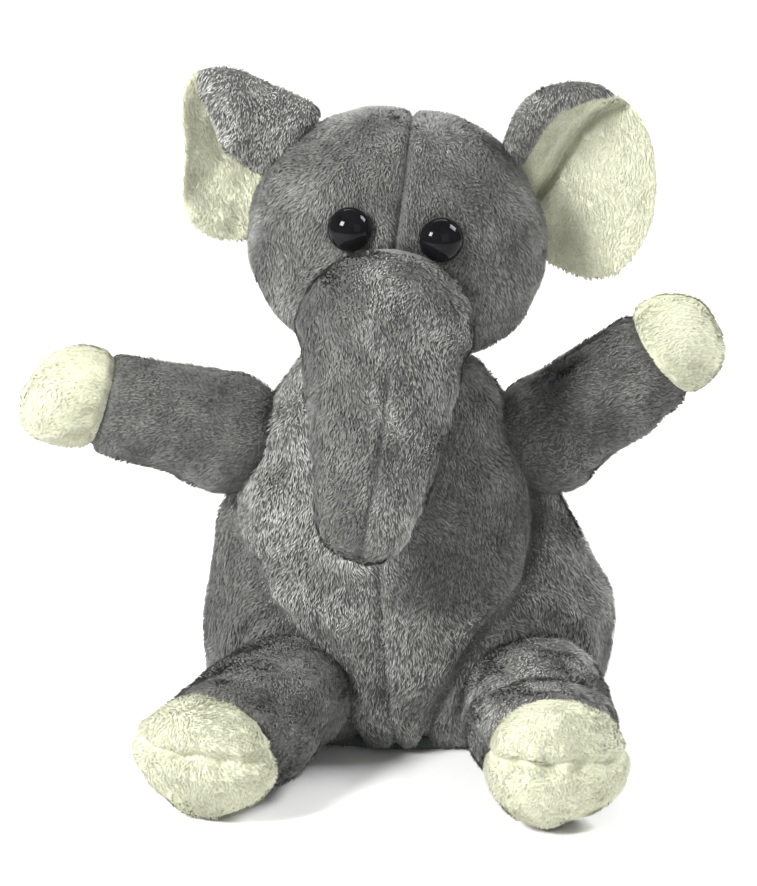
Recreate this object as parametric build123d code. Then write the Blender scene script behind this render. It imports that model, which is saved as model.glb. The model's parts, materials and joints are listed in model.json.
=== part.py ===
from build123d import *
import os
from math import cos, radians, sin, sqrt

# Glove puppet of a seated elephant, sewn from short-pile plush. Millimetres, +Z up, the face looks along -Y.
# Left and right are the puppet's own, so its left hand points along +X. The floor is z = 0.

# Cloth and stuffing
plush = 4.0                 # plush cloth with its pile
wadding = 11.0              # stuffing between the plush and the hand lining
lining = 1.2                # lining of the hand sleeve and the finger pockets
play = 0.5                  # room between pieces that move on each other

# Body: an oval sack. Each row is height, middle in x, half width, half depth.
body_y = 31.0               # the body stands behind the middle of the seated footprint
body_rows = [
    (0, 8, 57, 40),
    (20, 8, 64, 45),
    (42, 8, 64, 48),
    (64, 5, 58, 45),
    (84, 3, 50, 39),
    (103, 2, 39, 31),
    (118, 2, 27, 23),
]
body_top = body_rows[-1][0]
hem_height = 4.0            # dark binding round the hand opening
hem_inset = 1.5
belly_outline = [(-6, -1), (-28, 23), (-46, 45), (-54, 65), (-50, 81), (-26, 128),
                 (34, 128), (50, 85), (52, 68), (46, 48), (31, 25), (12, -1)]
belly_seam_x = 2.0
sleeve_top = 108.0

# Neck: a lined finger tube that turns, a padded ring that tilts, and the head that nods on it
neck = Vector(2, body_y - 4, 128)
neck_tube_radius = 13.0
neck_ring_radius = 17.0
neck_ring_rise = 1.0        # its lower edge above the pivot, so that it clears the tube when it tilts
finger_radius = 9.5
neck_tube_bottom = 106.0

# Head: an egg lying on its side, rolled a little towards the puppet's left
head_half_width = 47.0
head_radius = 40.0
head_rise = 33.5            # neck pivot to the head's middle
head_roll = 6.0             # degrees
head_yaw = -3.0             # degrees, a little towards the puppet's right
head_back_y = 9.0           # the seam behind the ears, back from the head's middle
finger_depth = 30.0         # how far the finger pocket reaches above the neck pivot

# Eyes: plastic safety eyes held by washers behind the plush
eye_radius = 6.75
eye_dome = 5.5
eye_out = 13.9              # sideways from the head's seam
eye_up = 7.0                # up from the head's middle
shank_radius = 2.0
shank_length = 9.0
washer_radius = 6.5
washer_thickness = 1.5

# Trunk: a tapering tube that starts on the face and hangs in front of the belly
trunk_root = Vector(4, body_y - 47, 138)
trunk_tip = Vector(-3, body_y - 73, 90)
trunk_root_radius = 24.5
trunk_tip_radius = 15.0
trunk_under_turn = 50.0     # half angle of the gusset along the trunk's underside, degrees

# Ears: cupped leaves on a rolled root that lies along the head's upper side
ear_layer = 3.5
ear_cup_radius = 60.0
ear_root_radius = 4.5
ear_root_place = (41.0, 2.0, 24.0)  # out, back and up from the head's middle
ear_forward = 20.0          # degrees that the ear points forward of straight out
ear_lean = 22.0             # degrees that the root leans in at the top
ear_leaf_turn = 18.0        # degrees that the leaf turns back upright
ears = {
    "right": {"half_width": 17.5, "half_height": 28.0, "drop": 4.0},
    "left": {"half_width": 21.0, "half_height": 32.0, "drop": 8.0},
}
ear_root_half_length = 13.0

# Arms: a tapering tube with a round root in the body and a pale hand at the end
arm_root_radius = 19.5
arm_tip_radius = 17.0
arm_length = 65.0           # root's middle to the tip of the hand
hand_length = 24.0
arm_forward = 8.0           # degrees forward of straight out
arms = {
    "right": {"root": Vector(-49, body_y - 5, 96), "rise": 15.0, "side": -1},
    "left": {"root": Vector(54, body_y - 5, 96), "rise": 31.0, "side": 1},
}
pocket_length = 34.0
shoulder_ring_outer = 22.0
shoulder_ring_inner = 20.0
shoulder_ring_turns = (36.0, 54.0)  # its edges, in degrees from straight into the body

# Legs: stuffed stubs that point forward, each with a pale foot
leg_root_radius = 25.0
foot_radius = 21.5
foot_length = 22.0
legs = {
    "right": {"root": Vector(-32, body_y - 46, 25.5), "foot": Vector(-49, body_y - 84, 22)},
    "left": {"root": Vector(48, body_y - 46, 25.5), "foot": Vector(51, body_y - 88, 22)},
}

big = 400.0                 # a size well beyond the puppet


def half_space(point, normal):
    """The half of space that lies on the side of the plane the normal points to."""
    plane = Plane(origin=point, z_dir=normal)
    return plane * Pos(0, 0, big / 2) * Box(big, big, big)


def ball(middle, radius):
    return Pos(*middle) * Sphere(radius)


def rod(start, end, radius):
    """A round bar from start to end."""
    along = Vector(*end) - Vector(*start)
    return Plane(origin=start, z_dir=along) * Pos(0, 0, along.length / 2) * Cylinder(radius, along.length)


def stub(start, end, start_radius, end_radius):
    """The smooth hull of two balls: a tapering tube with round ends."""
    along = Vector(*end) - Vector(*start)
    length = along.length
    slope = (start_radius - end_radius) / length
    rise = sqrt(1 - slope ** 2)
    first = (start_radius * rise, start_radius * slope)
    last = (end_radius * rise, length + end_radius * slope)
    half_turn = sqrt(0.5)
    bottom = (0, -start_radius)
    top = (0, length + end_radius)
    start_cap = ThreePointArc(bottom, (start_radius * half_turn, -start_radius * half_turn), first)
    end_cap = ThreePointArc(last, (end_radius * half_turn, length + end_radius * half_turn), top)
    profile = make_face(Curve() + [start_cap, Line(first, last), end_cap, Line(top, bottom)])
    upright = revolve(Plane.XZ * profile, Axis.Z)
    return Plane(origin=start, z_dir=along) * upright


def body_sack(inset, bottom, top):
    """The body's oval sack, drawn in by an inset and cut off level at the bottom and the top."""
    ovals = [
        Plane(origin=(middle, body_y, height)) * Ellipse(half_width - inset, half_depth - inset)
        for height, middle, half_width, half_depth in body_rows
    ]
    sack = loft([face.face() for face in ovals])
    return sack & half_space((0, 0, bottom), (0, 0, 1)) & half_space((0, 0, top), (0, 0, -1))


pieces = {}
head_place = Pos(*neck) * Rot(0, head_roll, 0) * Rot(0, 0, head_yaw)


def in_head(x, y, z):
    """A point given from the head's middle, along the rolled head's own directions."""
    return (head_place * Pos(x, y, z + head_rise)).position


def arm_direction(arm):
    rise, forward = radians(arm["rise"]), radians(arm_forward)
    return Vector(arm["side"] * cos(rise) * cos(forward), -cos(rise) * sin(forward), sin(rise))


def make_body():
    skin_outer = body_sack(0, 0, body_top)
    wadding_outer = body_sack(plush, hem_height, body_top)
    sleeve_outer = body_sack(plush + wadding, hem_height, sleeve_top)
    hand_space = body_sack(plush + wadding + lining, -1, sleeve_top - lining)

    sockets = [ball(arm["root"], shoulder_ring_outer + play) for arm in arms.values()]
    sockets += [ball(leg["root"], leg_root_radius + play) for leg in legs.values()]
    # Each armhole lets a finger through from the hand space into the arm.
    arm_roots = [arm["root"] for arm in arms.values()]
    armholes = [rod((2, root.Y, root.Z - 2), root, finger_radius + 1) for root in arm_roots]
    above_neck = neck + Vector(0, 0, 30)
    neck_hole = rod((neck.X, neck.Y, neck_tube_bottom - play), above_neck, neck_tube_radius + play)
    neck_passage = rod((neck.X, neck.Y, 90), neck, finger_radius)
    ring_room = ball(neck, neck_ring_radius + play)

    hem_top = half_space((0, 0, hem_height), (0, 0, 1))
    hem = body_sack(hem_inset, 0, hem_height) - body_sack(plush + wadding + lining, -1, hem_height + 1)
    skin = skin_outer - wadding_outer
    skin -= body_sack(hem_inset, -1, hem_height)
    for socket in sockets:
        skin -= socket
        hem -= socket
    skin -= neck_hole
    skin -= ring_room

    outline = make_face(Polyline(*belly_outline, belly_outline[0]))
    belly_block = extrude(Plane.XZ * outline, amount=big)
    belly_block = Pos(0, body_y, 0) * belly_block
    belly = skin & belly_block
    back = skin - belly_block
    left = half_space((belly_seam_x, 0, 0), (1, 0, 0))
    right = half_space((belly_seam_x, 0, 0), (-1, 0, 0))
    pieces["belly_panel_left"] = belly & left
    pieces["belly_panel_right"] = belly & right
    pieces["back_panel_left"] = back & left
    pieces["back_panel_right"] = back & right

    stuffing = wadding_outer - sleeve_outer
    sleeve = sleeve_outer - hand_space
    for hole in sockets + armholes + [neck_hole, ring_room]:
        stuffing -= hole
        sleeve -= hole
    sleeve -= neck_passage
    stuffing -= neck_passage
    pieces["body_wadding"] = stuffing
    pieces["sleeve_lining"] = sleeve
    pieces["opening_hem"] = hem


def make_neck():
    tube = rod((neck.X, neck.Y, neck_tube_bottom), neck, neck_tube_radius) + ball(neck, neck_tube_radius)
    tube -= rod((neck.X, neck.Y, neck_tube_bottom - 1), (neck.X, neck.Y, neck.Z + big), finger_radius)
    pieces["neck_tube"] = tube
    ring = ball(neck, neck_ring_radius) - ball(neck, neck_tube_radius + play)
    ring -= rod(neck, (neck.X, neck.Y, neck.Z + big), finger_radius + 3)
    ring &= half_space((0, 0, neck.Z + neck_ring_rise), (0, 0, 1))
    pieces["neck_ring"] = ring


def head_egg(inset):
    """The head's egg shape: round about its own x direction, drawn in by an inset."""
    radius = head_radius - inset
    egg = scale(Sphere(1), by=(head_half_width - inset, radius, radius))
    return head_place * Pos(0, 0, head_rise) * egg


def eye_frame(side):
    """The place on the head's skin where an eye sits, with z straight out of the skin."""
    x = eye_out if side == "left" else -eye_out
    z = eye_up
    y = -sqrt(head_radius ** 2 * (1 - (x / head_half_width) ** 2) - z ** 2)
    point = in_head(x, y, z)
    slope = (x / head_half_width ** 2, y / head_radius ** 2, z / head_radius ** 2)
    return Plane(origin=point, z_dir=in_head(*slope) - in_head(0, 0, 0))


def make_head():
    outer = head_egg(0)
    inner = head_egg(plush)
    trunk_socket = ball(trunk_root, trunk_root_radius + play)
    neck_socket = ball(neck, neck_ring_radius + play)
    skin = outer - inner
    stuffing = inner
    pocket_end = neck + Vector(0, 0, finger_depth)
    pocket_outer = stub(neck, pocket_end, finger_radius + 3 + lining, finger_radius + lining)
    pocket_inner = stub(neck, pocket_end, finger_radius + 3, finger_radius)
    for hole in [trunk_socket, neck_socket]:
        skin -= hole
        stuffing -= hole
        pocket_outer -= hole
    stuffing -= pocket_outer
    stuffing -= pocket_inner
    pieces["head_finger_pocket"] = pocket_outer - pocket_inner

    for side in ears:
        root = ear_room(side)
        skin -= root
        stuffing -= root

    for side in ("left", "right"):
        frame = eye_frame(side)
        bead = scale(Sphere(1), by=(eye_radius, eye_radius, eye_dome))
        dome = bead & Pos(0, 0, eye_radius) * Box(4 * eye_radius, 4 * eye_radius, 2 * eye_radius)
        shank = frame * Pos(0, 0, -shank_length / 2) * Cylinder(shank_radius, shank_length)
        washer = frame * Pos(0, 0, -plush - washer_thickness / 2) * Cylinder(washer_radius, washer_thickness)
        washer -= shank
        seat = frame * Pos(0, 0, big / 2) * Cylinder(eye_radius, big)
        pieces[side + "_eye"] = frame * dome + shank
        pieces[side + "_eye_washer"] = washer
        skin -= seat
        for hole in (shank, washer):
            skin -= hole
            stuffing -= hole

    back = half_space(in_head(0, head_back_y, 0), in_head(0, 1, 0) - in_head(0, 0, 0))
    right = half_space(in_head(0, 0, 0), in_head(-1, 0, 0) - in_head(0, 0, 0))
    face = skin - back
    pieces["head_back"] = skin & back
    pieces["face_right"] = face & right
    pieces["face_left"] = face - right
    pieces["head_stuffing"] = stuffing


def make_trunk():
    outer = stub(trunk_root, trunk_tip, trunk_root_radius, trunk_tip_radius)
    inner = stub(trunk_root, trunk_tip, trunk_root_radius - plush, trunk_tip_radius - plush)
    skin = outer - inner
    along = trunk_tip - trunk_root
    # The underside faces the body, and two flat cuts along the trunk part it from the upper panels.
    under = Vector(0, 1, 0)
    under -= along * (under.dot(along) / along.dot(along))
    trunk_axis = Axis((0, 0, 0), along)
    gusset_block = half_space(trunk_root, under.rotate(trunk_axis, 90 - trunk_under_turn))
    gusset_block &= half_space(trunk_root, under.rotate(trunk_axis, trunk_under_turn - 90))
    side = along.cross(under)
    upper = skin - gusset_block
    pieces["trunk_under_gusset"] = skin & gusset_block
    pieces["trunk_panel_left"] = upper & half_space(trunk_root, side)
    pieces["trunk_panel_right"] = upper & half_space(trunk_root, side * -1)
    pieces["trunk_stuffing"] = inner


def ear_place(side):
    """The ear's root: local x points out along the leaf, and z runs up along the root."""
    out, back, up = ear_root_place
    if side == "left":
        root = Pos(out, back, up + head_rise) * Rot(0, 0, -ear_forward)
    else:
        root = Pos(-out, back, up + head_rise) * Rot(0, 0, 180 + ear_forward)
    return head_place * root * Rot(0, -ear_lean, 0)


def ear_room(side):
    """The groove in the head that the ear's root turns in."""
    return ear_place(side) * Cylinder(ear_root_radius + 2 * play, 2 * ear_root_half_length + 2)


def make_ear(side):
    half_width, half_height, drop = (ears[side][key] for key in ("half_width", "half_height", "drop"))
    # The pale lining faces forward: +y of the right ear's own directions, -y of the left ear's.
    front = 1 if side == "right" else -1
    oval = Pos(half_width - 1.5, -drop) * Rot(0, 0, -ear_leaf_turn) * Ellipse(half_width + 1.5, half_height)
    leaf = Rot(90, 0, 0) * extrude(oval, amount=60, both=True)
    leaf &= Pos(50 + ear_root_radius / 2, 0, 0) * Box(100, 200, 200)
    middle = Pos(half_width, front * sqrt(ear_cup_radius ** 2 - half_width ** 2), 0)
    seam = middle * Sphere(ear_cup_radius)
    back = (middle * Sphere(ear_cup_radius + ear_layer) - seam) & leaf
    lining_side = (seam - middle * Sphere(ear_cup_radius - ear_layer)) & leaf
    root = Cylinder(ear_root_radius, 2 * ear_root_half_length)
    pieces[side + "_ear_back"] = ear_place(side) * (back + root)
    pieces[side + "_ear_lining"] = ear_place(side) * (lining_side - root)


def make_arm(side):
    arm = arms[side]
    along = arm_direction(arm)
    root = arm["root"]
    end = root + along * (arm_length - arm_tip_radius)
    outer = stub(root, end, arm_root_radius, arm_tip_radius)
    inner = stub(root, end, arm_root_radius - plush, arm_tip_radius - plush)
    mouth = root - along * (arm_root_radius + 5)
    pocket_end = root + along * (pocket_length - finger_radius)
    pocket_inner = stub(root, pocket_end, finger_radius + 1.5, finger_radius)
    pocket_inner += rod(mouth, root, finger_radius + 1.5)
    pocket_outer = stub(root, pocket_end, finger_radius + 1.5 + lining, finger_radius + lining)
    pocket_outer += rod(mouth, root, finger_radius + 1.5 + lining)
    pocket_outer &= outer
    skin = outer - inner - pocket_outer - pocket_inner
    pieces[side + "_arm_stuffing"] = inner - pocket_outer - pocket_inner
    pieces[side + "_arm_finger_pocket"] = pocket_outer - pocket_inner

    hand_end = half_space(root + along * (arm_length - hand_length), along)
    front = half_space(root, Vector(0, -1, 0) - along * Vector(0, -1, 0).dot(along))
    sleeve = skin - hand_end
    hand = skin & hand_end
    pieces[side + "_arm_front"] = sleeve & front
    pieces[side + "_arm_back"] = sleeve - front
    pieces[side + "_hand_front"] = hand & front
    pieces[side + "_hand_back"] = hand - front

    # A sewn facing inside the armhole, a band of a ball round the arm's root.
    mouth_turn, rim_turn = (radians(turn) for turn in shoulder_ring_turns)
    turns = (mouth_turn, (mouth_turn + rim_turn) / 2, rim_turn)
    outer_arc, inner_arc = (
        [(radius * sin(turn), radius * cos(turn)) for turn in turns]
        for radius in (shoulder_ring_outer, shoulder_ring_inner)
    )
    ends = [Line(outer_arc[2], inner_arc[2]), Line(inner_arc[0], outer_arc[0])]
    band = make_face(Curve() + [ThreePointArc(*outer_arc), ThreePointArc(*inner_arc)] + ends)
    ring = revolve(Plane.XZ * band, Axis.Z)
    pieces[side + "_shoulder_ring"] = Plane(origin=root, z_dir=(-arm["side"], 0, 0)) * ring


def make_leg(side):
    leg = legs[side]
    root, foot = leg["root"], leg["foot"]
    along = (foot - root).normalized()
    outer = stub(root, foot, leg_root_radius, foot_radius)
    inner = stub(root, foot, leg_root_radius - plush, foot_radius - plush)
    skin = outer - inner
    foot_end = half_space(foot + along * (foot_radius - foot_length), along)
    top = half_space(root, Vector(0, 0, 1) - along * along.Z)
    shaft = skin - foot_end
    cap = skin & foot_end
    pieces[side + "_leg_top"] = shaft & top
    pieces[side + "_leg_bottom"] = shaft - top
    pieces[side + "_foot_top"] = cap & top
    pieces[side + "_foot_sole"] = cap - top
    pieces[side + "_leg_stuffing"] = inner


make_body()
make_neck()
make_head()
make_trunk()
for side in ("left", "right"):
    make_ear(side)
    make_arm(side)
    make_leg(side)

os.makedirs("parts", exist_ok=True)
for name, piece in pieces.items():
    export_step(Compound(label=name, children=piece.solids()), "parts/" + name + ".step")
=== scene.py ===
import json
import math
from collections import namedtuple

import bpy
import numpy as np
from mathutils import Matrix, Vector


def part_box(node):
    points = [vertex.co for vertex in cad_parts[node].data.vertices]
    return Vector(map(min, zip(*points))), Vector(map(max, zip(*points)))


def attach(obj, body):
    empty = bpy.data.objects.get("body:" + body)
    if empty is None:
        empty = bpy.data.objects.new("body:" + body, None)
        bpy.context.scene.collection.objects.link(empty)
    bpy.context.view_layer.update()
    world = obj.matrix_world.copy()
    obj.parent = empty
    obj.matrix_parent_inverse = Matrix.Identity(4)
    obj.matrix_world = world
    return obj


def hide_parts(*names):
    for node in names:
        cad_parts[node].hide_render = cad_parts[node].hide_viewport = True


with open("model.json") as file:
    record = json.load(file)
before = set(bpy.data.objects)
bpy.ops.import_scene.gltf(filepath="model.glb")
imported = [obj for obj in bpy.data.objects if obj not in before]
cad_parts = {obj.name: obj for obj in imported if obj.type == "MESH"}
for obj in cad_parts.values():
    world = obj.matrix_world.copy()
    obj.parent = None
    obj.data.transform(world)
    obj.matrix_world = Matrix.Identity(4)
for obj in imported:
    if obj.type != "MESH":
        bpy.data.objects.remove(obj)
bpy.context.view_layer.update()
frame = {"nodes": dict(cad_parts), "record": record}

# Lengths are in millimetres, down to the stage at the end. +Z is up and the face looks along -Y.
# Left and right are the puppet's own.
MM = 0.001
MM_PER_M = 1000
# The cloth's thickness, and how far it lies inside the drawn form to leave room for its pile.
CLOTH = 1.8
SKIN_DEPTH = 1.4
# The depth below the cloth's outside at which stuffing starts.
FILL_DEPTH = 2.4
# The lowest that cloth and fibres may lie, so that nothing sinks into the floor.
CLOTH_FLOOR = 0.05
PILE_FLOOR = 0.15
# Every pile's density, in fibres a square millimetre, and its length are multiplied by these.
FIBRES_SHARE = 1.3
FIBRE_LENGTH_SHARE = 0.74
PILE_SHARE = 1.0

JOINTS = {j["name"]: np.array(j["pos_m"]) * MM_PER_M for j in frame["record"]["behaviour"]["joints"]}
NECK = JOINTS["head_turn"]
TRUNK_ROOT = JOINTS["trunk_swing"]
BODY_Y = 31.0


# ---------------------------------------------------------------- numbers and shapes
def unit(v):
    """Vectors of length 1 that point the same ways."""
    v = np.asarray(v, float)
    return v / np.maximum(np.linalg.norm(v, axis=-1, keepdims=True), 1e-9)


def noise(points, size, seed):
    """Smooth waves between about -1 and 1, whose humps are about size across."""
    waves, scale = 9, 3.6
    rng = np.random.default_rng(seed)
    total = np.zeros(points.shape[:-1])
    for _ in range(waves):
        direction = unit(rng.normal(size=3))
        pitch = math.pi / size * rng.uniform(0.65, 1.5)
        total += np.sin(points @ direction * pitch + rng.uniform(0, 6.28))
    return total / scale


def hump(distance, width):
    """1 at no distance, and close to 0 past about twice the width."""
    return np.exp(-(distance / width) ** 2)


def step(value, low, high):
    """Rises smoothly from 0 at low to 1 at high."""
    t = np.clip((value - low) / (high - low), 0, 1)
    return t * t * (3 - 2 * t)


def curve(at, points, blur=5.0):
    """Reads a smoothed line through (place, value) points."""
    places, values = zip(*points)
    shifts = np.linspace(-1, 1, 9) * blur
    return np.mean([np.interp(at + s, places, values) for s in shifts], axis=0)


def line_distance(x, z, line):
    """Distance to a broken line, positive on its left as it is walked along."""
    best = np.full(x.shape, 1e9)
    side = np.ones(x.shape)
    for (ax, az), (bx, bz) in zip(line[:-1], line[1:]):
        dx, dz = bx - ax, bz - az
        t = np.clip(((x - ax) * dx + (z - az) * dz) / (dx * dx + dz * dz), 0, 1)
        gap = np.hypot(x - ax - t * dx, z - az - t * dz)
        cross = dx * (z - az) - dz * (x - ax)
        side = np.where(gap < best, np.sign(cross), side)
        best = np.minimum(best, gap)
    return best * side


def inside(x, z, outline):
    """Which points lie inside a closed outline."""
    hit = np.zeros(x.shape, bool)
    for (ax, az), (bx, bz) in zip(outline, outline[1:] + outline[:1]):
        if az != bz:
            across = (az > z) != (bz > z)
            hit ^= across & (x < (bx - ax) * (z - az) / (bz - az) + ax)
    return hit


def smooth_path(points, count):
    """A rounded path through the points."""
    points = np.array(points, float)
    at = np.arange(len(points))
    t = np.linspace(0, len(points) - 1, count)
    path = np.stack([np.interp(t, at, points[:, k]) for k in range(points.shape[1])], 1)
    for _ in range(max(2, count // 10)):
        path[1:-1] = (path[:-2] + 2 * path[1:-1] + path[2:]) / 4
    return path


def frame_along(direction, up=(0, 0, 1)):
    """Two directions square to the axis; the second is the one nearest to up."""
    along = unit(np.array(direction, float))
    rise = unit(np.array(up, float) - along * np.dot(up, along))
    return along, np.cross(along, rise), rise


def is_pole(row):
    """Whether a row of a grid is drawn together into about one point."""
    return np.ptp(row, axis=0).max() < 0.5


def normals(grid):
    """Outward normals of a grid that closes round its columns and has a pole or rim at each end."""
    du = np.roll(grid, -1, 1) - np.roll(grid, 1, 1)
    dv = np.gradient(grid, axis=0)
    n = unit(np.cross(du, dv))
    for end, step_in in ((0, 1), (-1, -2)):
        if is_pole(grid[end]):
            n[end] = unit(n[step_in].mean(0))
    middle = grid.reshape(-1, 3).mean(0)
    return n if np.sum(n * (grid - middle)) > 0 else -n


def push(grid, amount):
    """Moves a grid's points outward."""
    return grid + normals(grid) * np.asarray(amount)[..., None]


def inward(grid):
    """Directions into the form, evened out so that a layer laid along them doesn't fold over itself."""
    n = normals(grid)
    for _ in range(10):
        n = n + np.roll(n, 1, 1) + np.roll(n, -1, 1)
        n = np.concatenate([n[:1] * 2 + n[1:2], n[:-2] + n[1:-1] * 2 + n[2:], n[-2:-1] + n[-1:] * 2])
        n = unit(n)
    return -n


def face_middles(grid):
    """The middle of each face of a grid that closes round its columns."""
    ring = np.roll(grid, -1, 1)
    return (grid[:-1] + grid[1:] + ring[:-1] + ring[1:]) / 4


def full_turn(count):
    """Evenly spaced angles round a circle."""
    return np.linspace(0, 2 * math.pi, count, endpoint=False)


def lathe(origin, along, across, rise, places, radii, turns, wide=1.0, tall=1.0):
    """A tube about an axis, with a radius for each place along it."""
    turn = full_turn(turns)
    wide, tall = (np.reshape(share, (-1, 1, 1)) for share in (wide, tall))
    ring = np.cos(turn)[:, None] * across * wide + np.sin(turn)[:, None] * rise * tall
    return origin + places[:, None, None] * along + radii[:, None, None] * ring


def off_line(turn, angle, radii):
    """How far round a tube's surface each point lies from the line at an angle."""
    return np.angle(np.exp(1j * (turn - angle)))[None] * radii[:, None]


def stub_rows(root_radius, body, cap_start, length, power):
    """Places and radii from the round root's pole to a blunt tip's pole."""
    rows, point = 150, 0.01
    t = np.linspace(0, math.pi / 2, rows // 4)
    back_s, back_r = -root_radius * np.cos(t), root_radius * np.sin(t)
    mid_s = np.linspace(0, cap_start, rows // 2)[1:]
    mid_r = curve(mid_s, body, 4.0)
    t = np.linspace(0, math.pi / 2, rows // 3)[1:]
    reach = length - cap_start
    tip_s = cap_start + reach * np.sin(t) ** (2 / power)
    tip_r = mid_r[-1] * np.cos(t) ** (2 / power)
    places = np.concatenate([back_s, mid_s, tip_s])
    radii = np.concatenate([back_r, mid_r + (root_radius - body[0][1]) * hump(mid_s, 4), tip_r])
    radii[0] = radii[-1] = point
    return places, radii


# ---------------------------------------------------------------- meshes
def link_object(name, data):
    obj = bpy.data.objects.new(name, data)
    bpy.context.scene.collection.objects.link(obj)
    return obj


def add_object(name, verts, faces, material):
    """A smooth mesh object that stays just above the floor."""
    verts = np.array(verts, float)
    verts[:, 2] = np.maximum(verts[:, 2], CLOTH_FLOOR)
    mesh = bpy.data.meshes.new(name)
    mesh.from_pydata(verts * MM, [], faces)
    mesh.validate()
    mesh.shade_smooth()
    mesh.set_sharp_from_angle(angle=math.radians(70))
    mesh.materials.append(material)
    return link_object(name, mesh)


def tidy_faces(faces):
    """Drops repeated corners, which a grid has at its poles."""
    out = []
    for face in faces.tolist():
        corners = [c for i, c in enumerate(face) if c != face[i - 1]]
        if len(corners) > 2:
            out.append(corners)
    return out


def loop_faces(rows, turns):
    """The faces of a grid that closes on itself both ways."""
    index = np.arange(rows * turns).reshape(rows, turns)
    following = np.roll(index, -1, 0)
    return np.stack([index, np.roll(index, -1, 1), np.roll(following, -1, 1), following], -1).reshape(-1, 4)


def grid_faces(grid, mask=None):
    """The faces of a grid that closes round its columns, turned to face outward."""
    rows, cols = grid.shape[:2]
    index = np.arange(rows * cols).reshape(rows, cols)
    for end in (0, -1):
        if is_pole(grid[end]):
            index[end] = index[end, 0]
    ring = np.roll(index, -1, 1)
    faces = np.stack([index[:-1], ring[:-1], ring[1:], index[1:]], -1)
    middle = grid.reshape(-1, 3).mean(0)
    du = np.roll(grid, -1, 1) - np.roll(grid, 1, 1)
    if np.sum(np.cross(du, np.gradient(grid, axis=0)) * (grid - middle)) < 0:
        faces = faces[..., ::-1]
    return faces if mask is None else faces[mask]


def solid(name, grid, material, depth=0.0):
    """A closed form from a grid with a pole at each end, drawn in by a depth."""
    verts = grid + inward(grid) * depth if depth else grid
    faces = tidy_faces(grid_faces(grid).reshape(-1, 4))
    return add_object(name, verts.reshape(-1, 3), faces, material)


def shell(name, grid, mask, thickness, material, depth=0.0):
    """The masked part of a grid as a closed sheet of a given thickness, which starts at a depth below it."""
    way = inward(grid)
    outer = (grid + way * depth).reshape(-1, 3)
    inner = (grid + way * (depth + thickness)).reshape(-1, 3)
    faces = grid_faces(grid, mask).reshape(-1, 4)
    edges = np.concatenate([faces[:, [k, (k + 1) % 4]] for k in range(4)])
    edges = edges[edges[:, 0] != edges[:, 1]]
    count = len(outer)
    keys = edges[:, 0] * count + edges[:, 1]
    border = edges[~np.isin(edges[:, 1] * count + edges[:, 0], keys)]
    walls = np.stack([border[:, 1], border[:, 0], border[:, 0] + count, border[:, 1] + count], 1)
    every = np.concatenate([faces, faces[:, ::-1] + count, walls])
    used, flat = np.unique(every, return_inverse=True)
    verts = np.concatenate([outer, inner])[used]
    return add_object(name, verts, tidy_faces(flat.reshape(every.shape)), material)


def scatter(rng, grid, mask, density):
    """Random points on the masked part of a grid: their triangles, corner weights, places and normals."""
    points = grid.reshape(-1, 3)
    quads = grid_faces(grid, mask).reshape(-1, 4)
    tris = np.concatenate([quads[:, [0, 1, 2]], quads[:, [0, 2, 3]]])
    a, b, c = (points[tris[:, k]] for k in range(3))
    area = np.linalg.norm(np.cross(b - a, c - a), axis=1) / 2
    count = int(area.sum() * density * FIBRES_SHARE * PILE_SHARE)
    picked = np.searchsorted(np.cumsum(area), rng.random(count) * area.sum()).clip(0, len(tris) - 1)
    u, v = rng.random(count), rng.random(count)
    flip = u + v > 1
    u, v = np.where(flip, 1 - u, u), np.where(flip, 1 - v, v)
    weights = np.stack([1 - u - v, u, v], 1)[..., None]
    corners = tris[picked]
    root = (points[corners] * weights).sum(1)
    up = unit((normals(grid).reshape(-1, 3)[corners] * weights).sum(1))
    return corners, weights[..., 0], root, up


def fibre_mesh(name, verts, shade, normal):
    """A mesh of fibres, each a quad and a triangle over five points."""
    count = len(verts)
    base = np.arange(count) * 5
    quad = base[:, None] + np.array([1, 0, 2, 3])
    cap = base[:, None] + np.array([3, 2, 4])
    mesh = bpy.data.meshes.new(name)
    mesh.vertices.add(count * 5)
    mesh.vertices.foreach_set("co", (verts.reshape(-1) * MM).astype(np.float32))
    mesh.loops.add(count * 7)
    mesh.loops.foreach_set("vertex_index", np.concatenate([quad, cap], 1).reshape(-1).astype(np.int32))
    mesh.polygons.add(count * 2)
    starts = (np.arange(count)[:, None] * 7 + np.array([0, 4])).reshape(-1)
    mesh.polygons.foreach_set("loop_start", starts.astype(np.int32))
    mesh.update(calc_edges=True)

    # The lift attribute holds each point's tone, with its painted light and its painted shade at the root.
    lift = mesh.attributes.new("lift", "FLOAT", "POINT")
    lift.data.foreach_set("value", shade.reshape(-1).astype(np.float32))
    # Each fibre has its own small cell of the UV map that colours can be baked into.
    across = math.ceil(math.sqrt(count))
    cell = np.stack([np.arange(count) % across, np.arange(count) // across], 1)[:, None]
    left, right, tip = (0.25, 0.5), (0.75, 0.5), (0.5, 0.9)
    corner = np.array([(0.8, 0.1), (0.2, 0.1), left, right, right, left, tip])
    layer = mesh.uv_layers.new(name="OFBake")
    layer.data.foreach_set("uv", ((cell + corner) / across).reshape(-1).astype(np.float32))
    mesh.normals_split_custom_set_from_vertices(np.broadcast_to(normal, (count, 5, 3)).reshape(-1, 3))
    return mesh


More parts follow.
